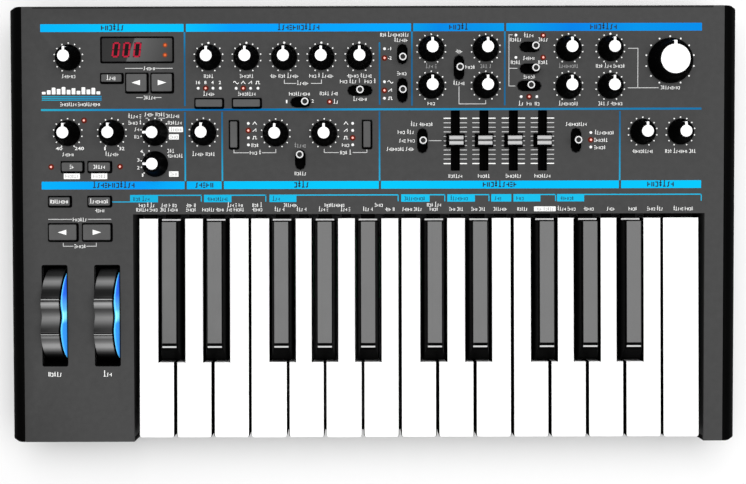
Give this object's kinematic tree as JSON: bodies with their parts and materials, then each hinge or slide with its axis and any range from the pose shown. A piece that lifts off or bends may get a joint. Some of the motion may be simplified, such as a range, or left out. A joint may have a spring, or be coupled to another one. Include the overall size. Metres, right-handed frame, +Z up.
{
  "type": "synthesizer",
  "caption": "Compact analogue keyboard synthesizer with a sloping grey control deck of knobs, faders, slide switches and buttons above piano keys, and pitch and modulation wheels at the left.",
  "frame": {"origin": "middle of the object's bounding box, on the surface that the feet stand on", "axes": "+X to the player's right along the keys, +Y away from the player, +Z up"},
  "size_m": [0.457, 0.273, 0.076],
  "materials": {
    "deck_paint": "fine textured dark grey",
    "case_plastic": "satin black",
    "steel": "plain",
    "board_green": "solder mask",
    "white_plastic": "gloss",
    "black_plastic": "gloss",
    "knob_rubber": "soft touch",
    "fader_grey": "satin",
    "wheel_grey": "satin",
    "smoked_glass": "gloss",
    "socket_black": "matte"
  },
  "bodies": {
    "case": {"top_panel": "deck_paint", "base_shell": "case_plastic", "left_end_cheek": "case_plastic", "right_end_cheek": "case_plastic", "keybed_chassis": "steel", "key_pivot_rod": "steel", "key_contact_board": "board_green", "control_board": "board_green", "rear_socket_board": "socket_black", "display_window": "smoked_glass"},
    "pitch_wheel": {"pitch_wheel": "wheel_grey"},
    "mod_wheel": {"mod_wheel": "wheel_grey"},
    "attack_fader": {"attack_fader": "fader_grey"},
    "decay_fader": {"decay_fader": "fader_grey"},
    "sustain_fader": {"sustain_fader": "fader_grey"},
    "release_fader": {"release_fader": "fader_grey"},
    "volume_knob": {"volume_knob": "knob_rubber"},
    "tempo_knob": {"tempo_knob": "knob_rubber"},
    "note_mode_selector": {"note_mode_selector": "knob_rubber"},
    "glide_time_knob": {"glide_time_knob": "knob_rubber"},
    "osc_fine_tune_knob": {"osc_fine_tune_knob": "knob_rubber"},
    "osc_coarse_tune_knob": {"osc_coarse_tune_knob": "knob_rubber"},
    "pulse_width_knob": {"pulse_width_knob": "knob_rubber"},
    "lfo_1_speed_knob": {"lfo_1_speed_knob": "knob_rubber"},
    "lfo_2_speed_knob": {"lfo_2_speed_knob": "knob_rubber"},
    "osc_1_level_knob": {"osc_1_level_knob": "knob_rubber"},
    "filter_resonance_knob": {"filter_resonance_knob": "knob_rubber"},
    "filter_frequency_knob": {"filter_frequency_knob": "knob_rubber"},
    "octave_down_button": {"octave_down_button": "black_plastic"},
    "octave_up_button": {"octave_up_button": "black_plastic"},
    "patch_down_button": {"patch_down_button": "black_plastic"},
    "patch_up_button": {"patch_up_button": "black_plastic"},
    "oscillator_switch": {"oscillator_switch": "black_plastic"},
    "envelope_switch": {"envelope_switch": "black_plastic"},
    "triggering_switch": {"triggering_switch": "black_plastic"},
    "key_c1": {"key_c1": "white_plastic"},
    "key_c_sharp1": {"key_c_sharp1": "black_plastic"},
    "key_d1": {"key_d1": "white_plastic"},
    "key_d_sharp1": {"key_d_sharp1": "black_plastic"},
    "key_e1": {"key_e1": "white_plastic"},
    "key_f1": {"key_f1": "white_plastic"},
    "key_f_sharp1": {"key_f_sharp1": "black_plastic"},
    "key_g1": {"key_g1": "white_plastic"},
    "key_g_sharp1": {"key_g_sharp1": "black_plastic"},
    "key_a1": {"key_a1": "white_plastic"},
    "key_a_sharp1": {"key_a_sharp1": "black_plastic"},
    "key_b1": {"key_b1": "white_plastic"},
    "key_c2": {"key_c2": "white_plastic"},
    "key_c_sharp2": {"key_c_sharp2": "black_plastic"},
    "key_d2": {"key_d2": "white_plastic"},
    "key_d_sharp2": {"key_d_sharp2": "black_plastic"},
    "key_e2": {"key_e2": "white_plastic"},
    "key_f2": {"key_f2": "white_plastic"},
    "key_f_sharp2": {"key_f_sharp2": "black_plastic"},
    "key_g2": {"key_g2": "white_plastic"},
    "key_g_sharp2": {"key_g_sharp2": "black_plastic"},
    "key_a2": {"key_a2": "white_plastic"},
    "key_a_sharp2": {"key_a_sharp2": "black_plastic"},
    "key_b2": {"key_b2": "white_plastic"},
    "key_c3": {"key_c3": "white_plastic"}
  },
  "joints": [
    {"name": "pitch_wheel_turn", "type": "hinge", "parent": "case", "child": "pitch_wheel", "pos_m": [-0.2, -0.0569, 0.0387], "axis": [1, 0, 0], "range_deg": [-32, 32], "stiffness_Nm_per_rad": 0.12},
    {"name": "mod_wheel_turn", "type": "hinge", "parent": "case", "child": "mod_wheel", "pos_m": [-0.167, -0.0569, 0.0387], "axis": [1, 0, 0], "range_deg": [-32, 32]},
    {"name": "attack_fader_slide", "type": "slide", "parent": "case", "child": "attack_fader", "axis": [0, 0.9996, 0.0293], "range_m": [-0.0141, 0.0141]},
    {"name": "decay_fader_slide", "type": "slide", "parent": "case", "child": "decay_fader", "axis": [0, 0.9996, 0.0293], "range_m": [-0.0141, 0.0141]},
    {"name": "sustain_fader_slide", "type": "slide", "parent": "case", "child": "sustain_fader", "axis": [0, 0.9996, 0.0293], "range_m": [-0.0141, 0.0141]},
    {"name": "release_fader_slide", "type": "slide", "parent": "case", "child": "release_fader", "axis": [0, 0.9996, 0.0293], "range_m": [-0.0141, 0.0141]},
    {"name": "filter_frequency_knob_turn", "type": "hinge", "parent": "case", "child": "filter_frequency_knob", "pos_m": [0.1855, 0.10206, 0.06069], "axis": [0, 0.0293, -0.9996], "range_deg": [-150, 150]},
    {"name": "volume_knob_turn", "type": "hinge", "parent": "case", "child": "volume_knob", "pos_m": [-0.1902, 0.10476, 0.06077], "axis": [0, 0.0293, -0.9996], "range_deg": [-150, 150]},
    {"name": "tempo_knob_turn", "type": "hinge", "parent": "case", "child": "tempo_knob", "pos_m": [-0.191, 0.05767, 0.05939], "axis": [0, 0.0293, -0.9996], "range_deg": [-150, 150]},
    {"name": "note_mode_selector_turn", "type": "hinge", "parent": "case", "child": "note_mode_selector", "pos_m": [-0.1363, 0.05767, 0.05939], "axis": [0, 0.0293, -0.9996], "range_deg": [-60, 150]},
    {"name": "glide_time_knob_turn", "type": "hinge", "parent": "case", "child": "glide_time_knob", "pos_m": [-0.1061, 0.05777, 0.05939], "axis": [0, 0.0293, -0.9996], "range_deg": [-150, 150]},
    {"name": "osc_fine_tune_knob_turn", "type": "hinge", "parent": "case", "child": "osc_fine_tune_knob", "pos_m": [-0.1027, 0.10465, 0.06077], "axis": [0, 0.0293, -0.9996], "range_deg": [-150, 150]},
    {"name": "osc_coarse_tune_knob_turn", "type": "hinge", "parent": "case", "child": "osc_coarse_tune_knob", "pos_m": [-0.079, 0.10465, 0.06077], "axis": [0, 0.0293, -0.9996], "range_deg": [-150, 150]},
    {"name": "pulse_width_knob_turn", "type": "hinge", "parent": "case", "child": "pulse_width_knob", "pos_m": [-0.0085, 0.10465, 0.06077], "axis": [0, 0.0293, -0.9996], "range_deg": [-150, 150]},
    {"name": "lfo_1_speed_knob_turn", "type": "hinge", "parent": "case", "child": "lfo_1_speed_knob", "pos_m": [-0.0609, 0.05717, 0.05937], "axis": [0, 0.0293, -0.9996], "range_deg": [-150, 150]},
    {"name": "lfo_2_speed_knob_turn", "type": "hinge", "parent": "case", "child": "lfo_2_speed_knob", "pos_m": [-0.0306, 0.05717, 0.05937], "axis": [0, 0.0293, -0.9996], "range_deg": [-150, 150]},
    {"name": "osc_1_level_knob_turn", "type": "hinge", "parent": "case", "child": "osc_1_level_knob", "pos_m": [0.0364, 0.10975, 0.06092], "axis": [0, 0.0293, -0.9996], "range_deg": [-150, 150]},
    {"name": "filter_resonance_knob_turn", "type": "hinge", "parent": "case", "child": "filter_resonance_knob", "pos_m": [0.1221, 0.10975, 0.06092], "axis": [0, 0.0293, -0.9996], "range_deg": [-150, 150]},
    {"name": "octave_down_button_slide", "type": "slide", "parent": "case", "child": "octave_down_button", "axis": [0, 0.0293, -0.9996], "range_m": [0, 0.0012], "stiffness_N_per_m": 400, "springref_m": -0.001},
    {"name": "octave_up_button_slide", "type": "slide", "parent": "case", "child": "octave_up_button", "axis": [0, 0.0293, -0.9996], "range_m": [0, 0.0012], "stiffness_N_per_m": 400, "springref_m": -0.001},
    {"name": "patch_down_button_slide", "type": "slide", "parent": "case", "child": "patch_down_button", "axis": [0, 0.0293, -0.9996], "range_m": [0, 0.0012], "stiffness_N_per_m": 400, "springref_m": -0.001},
    {"name": "patch_up_button_slide", "type": "slide", "parent": "case", "child": "patch_up_button", "axis": [0, 0.0293, -0.9996], "range_m": [0, 0.0012], "stiffness_N_per_m": 400, "springref_m": -0.001},
    {"name": "oscillator_switch_slide", "type": "slide", "parent": "case", "child": "oscillator_switch", "axis": [1, 0, 0], "range_m": [-0.0062, 0]},
    {"name": "envelope_switch_slide", "type": "slide", "parent": "case", "child": "envelope_switch", "axis": [0, 0.9996, 0.0293], "range_m": [-0.0045, 0.0045]},
    {"name": "triggering_switch_slide", "type": "slide", "parent": "case", "child": "triggering_switch", "axis": [0, 0.9996, 0.0293], "range_m": [-0.0045, 0.0045]},
    {"name": "key_c1_turn", "type": "hinge", "parent": "case", "child": "key_c1", "pos_m": [-0.13605, 0.019, 0.0462], "axis": [1, 0, 0], "range_deg": [0, 3.7], "stiffness_Nm_per_rad": 0.65, "springref_deg": -5.16},
    {"name": "key_c_sharp1_turn", "type": "hinge", "parent": "case", "child": "key_c_sharp1", "pos_m": [-0.1266, 0.019, 0.0462], "axis": [1, 0, 0], "range_deg": [0, 3.7], "stiffness_Nm_per_rad": 0.65, "springref_deg": -5.16},
    {"name": "key_e1_turn", "type": "hinge", "parent": "case", "child": "key_e1", "pos_m": [-0.08905, 0.019, 0.0462], "axis": [1, 0, 0], "range_deg": [0, 3.7], "stiffness_Nm_per_rad": 0.65, "springref_deg": -5.16},
    {"name": "key_c3_turn", "type": "hinge", "parent": "case", "child": "key_c3", "pos_m": [0.19295, 0.019, 0.0462], "axis": [1, 0, 0], "range_deg": [0, 3.7], "stiffness_Nm_per_rad": 0.65, "springref_deg": -5.16},
    {"name": "key_d1_turn", "type": "hinge", "parent": "case", "child": "key_d1", "pos_m": [-0.11255, 0.019, 0.0462], "axis": [1, 0, 0], "range_deg": [0, 3.7], "stiffness_Nm_per_rad": 0.65, "springref_deg": -5.16},
    {"name": "key_d_sharp1_turn", "type": "hinge", "parent": "case", "child": "key_d_sharp1", "pos_m": [-0.0985, 0.019, 0.0462], "axis": [1, 0, 0], "range_deg": [0, 3.7], "stiffness_Nm_per_rad": 0.65, "springref_deg": -5.16},
    {"name": "key_f1_turn", "type": "hinge", "parent": "case", "child": "key_f1", "pos_m": [-0.06555, 0.019, 0.0462], "axis": [1, 0, 0], "range_deg": [0, 3.7], "stiffness_Nm_per_rad": 0.65, "springref_deg": -5.16},
    {"name": "key_f_sharp1_turn", "type": "hinge", "parent": "case", "child": "key_f_sharp1", "pos_m": [-0.0572, 0.019, 0.0462], "axis": [1, 0, 0], "range_deg": [0, 3.7], "stiffness_Nm_per_rad": 0.65, "springref_deg": -5.16},
    {"name": "key_g1_turn", "type": "hinge", "parent": "case", "child": "key_g1", "pos_m": [-0.04205, 0.019, 0.0462], "axis": [1, 0, 0], "range_deg": [0, 3.7], "stiffness_Nm_per_rad": 0.65, "springref_deg": -5.16},
    {"name": "key_g_sharp1_turn", "type": "hinge", "parent": "case", "child": "key_g_sharp1", "pos_m": [-0.0303, 0.019, 0.0462], "axis": [1, 0, 0], "range_deg": [0, 3.7], "stiffness_Nm_per_rad": 0.65, "springref_deg": -5.16},
    {"name": "key_a1_turn", "type": "hinge", "parent": "case", "child": "key_a1", "pos_m": [-0.01855, 0.019, 0.0462], "axis": [1, 0, 0], "range_deg": [0, 3.7], "stiffness_Nm_per_rad": 0.65, "springref_deg": -5.16},
    {"name": "key_a_sharp1_turn", "type": "hinge", "parent": "case", "child": "key_a_sharp1", "pos_m": [-0.0034, 0.019, 0.0462], "axis": [1, 0, 0], "range_deg": [0, 3.7], "stiffness_Nm_per_rad": 0.65, "springref_deg": -5.16},
    {"name": "key_b1_turn", "type": "hinge", "parent": "case", "child": "key_b1", "pos_m": [0.00495, 0.019, 0.0462], "axis": [1, 0, 0], "range_deg": [0, 3.7], "stiffness_Nm_per_rad": 0.65, "springref_deg": -5.16},
    {"name": "key_c2_turn", "type": "hinge", "parent": "case", "child": "key_c2", "pos_m": [0.02845, 0.019, 0.0462], "axis": [1, 0, 0], "range_deg": [0, 3.7], "stiffness_Nm_per_rad": 0.65, "springref_deg": -5.16},
    {"name": "key_c_sharp2_turn", "type": "hinge", "parent": "case", "child": "key_c_sharp2", "pos_m": [0.0379, 0.019, 0.0462], "axis": [1, 0, 0], "range_deg": [0, 3.7], "stiffness_Nm_per_rad": 0.65, "springref_deg": -5.16},
    {"name": "key_d2_turn", "type": "hinge", "parent": "case", "child": "key_d2", "pos_m": [0.05195, 0.019, 0.0462], "axis": [1, 0, 0], "range_deg": [0, 3.7], "stiffness_Nm_per_rad": 0.65, "springref_deg": -5.16},
    {"name": "key_d_sharp2_turn", "type": "hinge", "parent": "case", "child": "key_d_sharp2", "pos_m": [0.066, 0.019, 0.0462], "axis": [1, 0, 0], "range_deg": [0, 3.7], "stiffness_Nm_per_rad": 0.65, "springref_deg": -5.16},
    {"name": "key_e2_turn", "type": "hinge", "parent": "case", "child": "key_e2", "pos_m": [0.07545, 0.019, 0.0462], "axis": [1, 0, 0], "range_deg": [0, 3.7], "stiffness_Nm_per_rad": 0.65, "springref_deg": -5.16},
    {"name": "key_f2_turn", "type": "hinge", "parent": "case", "child": "key_f2", "pos_m": [0.09895, 0.019, 0.0462], "axis": [1, 0, 0], "range_deg": [0, 3.7], "stiffness_Nm_per_rad": 0.65, "springref_deg": -5.16},
    {"name": "key_f_sharp2_turn", "type": "hinge", "parent": "case", "child": "key_f_sharp2", "pos_m": [0.1073, 0.019, 0.0462], "axis": [1, 0, 0], "range_deg": [0, 3.7], "stiffness_Nm_per_rad": 0.65, "springref_deg": -5.16},
    {"name": "key_g2_turn", "type": "hinge", "parent": "case", "child": "key_g2", "pos_m": [0.12245, 0.019, 0.0462], "axis": [1, 0, 0], "range_deg": [0, 3.7], "stiffness_Nm_per_rad": 0.65, "springref_deg": -5.16},
    {"name": "key_g_sharp2_turn", "type": "hinge", "parent": "case", "child": "key_g_sharp2", "pos_m": [0.1342, 0.019, 0.0462], "axis": [1, 0, 0], "range_deg": [0, 3.7], "stiffness_Nm_per_rad": 0.65, "springref_deg": -5.16},
    {"name": "key_a2_turn", "type": "hinge", "parent": "case", "child": "key_a2", "pos_m": [0.14595, 0.019, 0.0462], "axis": [1, 0, 0], "range_deg": [0, 3.7], "stiffness_Nm_per_rad": 0.65, "springref_deg": -5.16},
    {"name": "key_a_sharp2_turn", "type": "hinge", "parent": "case", "child": "key_a_sharp2", "pos_m": [0.1611, 0.019, 0.0462], "axis": [1, 0, 0], "range_deg": [0, 3.7], "stiffness_Nm_per_rad": 0.65, "springref_deg": -5.16},
    {"name": "key_b2_turn", "type": "hinge", "parent": "case", "child": "key_b2", "pos_m": [0.16945, 0.019, 0.0462], "axis": [1, 0, 0], "range_deg": [0, 3.7], "stiffness_Nm_per_rad": 0.65, "springref_deg": -5.16}
  ]
}
